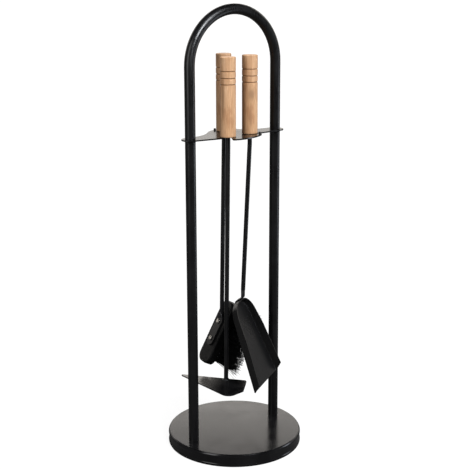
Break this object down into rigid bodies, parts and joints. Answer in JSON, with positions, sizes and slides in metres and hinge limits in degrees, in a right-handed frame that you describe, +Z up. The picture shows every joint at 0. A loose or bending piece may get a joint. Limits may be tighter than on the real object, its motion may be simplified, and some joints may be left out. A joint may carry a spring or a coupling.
{
  "type": "fireplace tool set",
  "caption": "Free-standing hoop stand on a weighted round base, with a poker, a brush and a shovel hung by their round wooden handles from an open-slotted rest.",
  "frame": {"origin": "centre of the base's underside, on the surface the set stands on", "axes": "+Z up; the hoop's two legs stand on the X axis; the poker and shovel hang on the -Y side, the brush on the +Y side"},
  "size_m": [0.201, 0.201, 0.6549],
  "materials": {
    "black_paint_base": "satin black paint",
    "black_paint_tube": "satin black paint",
    "black_paint_rod": "satin black paint",
    "black_paint_plate": "semi-gloss black paint",
    "black_paint_pan": "satin black paint",
    "weight_filling": "cast cement",
    "bare_steel": "plain steel",
    "zinc_steel": "zinc plated",
    "brass": "machined",
    "felt": "pressed felt",
    "handle_wood": "thin matt varnish on beech",
    "black_block": "black satin lacquer",
    "bristle": "stiff black bristle"
  },
  "bodies": {
    "stand": {"base_cover": "black_paint_base", "base_weight": "weight_filling", "base_bottom_plate": "bare_steel", "base_felt": "felt", "leg_plugs": "bare_steel", "leg_screws": "zinc_steel", "leg_washers": "zinc_steel", "hoop_tube": "black_paint_tube", "tool_rest": "black_paint_plate", "rest_welds": "black_paint_tube", "keeper_pegs": "black_paint_tube"},
    "poker": {"poker_handle": "handle_wood", "poker_insert": "brass", "poker_rod": "black_paint_rod", "poker_blade": "black_paint_plate", "poker_weld": "black_paint_rod"},
    "brush": {"brush_handle": "handle_wood", "brush_insert": "brass", "brush_rod": "black_paint_rod", "brush_block": "black_block", "brush_screws": "zinc_steel", "brush_bristles": "bristle"},
    "shovel": {"shovel_handle": "handle_wood", "shovel_insert": "brass", "shovel_rod": "black_paint_rod", "shovel_pan": "black_paint_pan", "shovel_weld": "black_paint_pan"}
  },
  "joints": [
    {"name": "poker_lift", "type": "slide", "parent": "stand", "child": "poker", "axis": [0, 0, 1], "range_m": [0, 0.034]},
    {"name": "brush_draw", "type": "slide", "parent": "stand", "child": "brush", "axis": [0, 0.7071, 0.7071], "range_m": [0, 0.25]},
    {"name": "shovel_draw", "type": "slide", "parent": "stand", "child": "shovel", "axis": [0.5721, -0.4156, 0.7071], "range_m": [0, 0.25]}
  ]
}
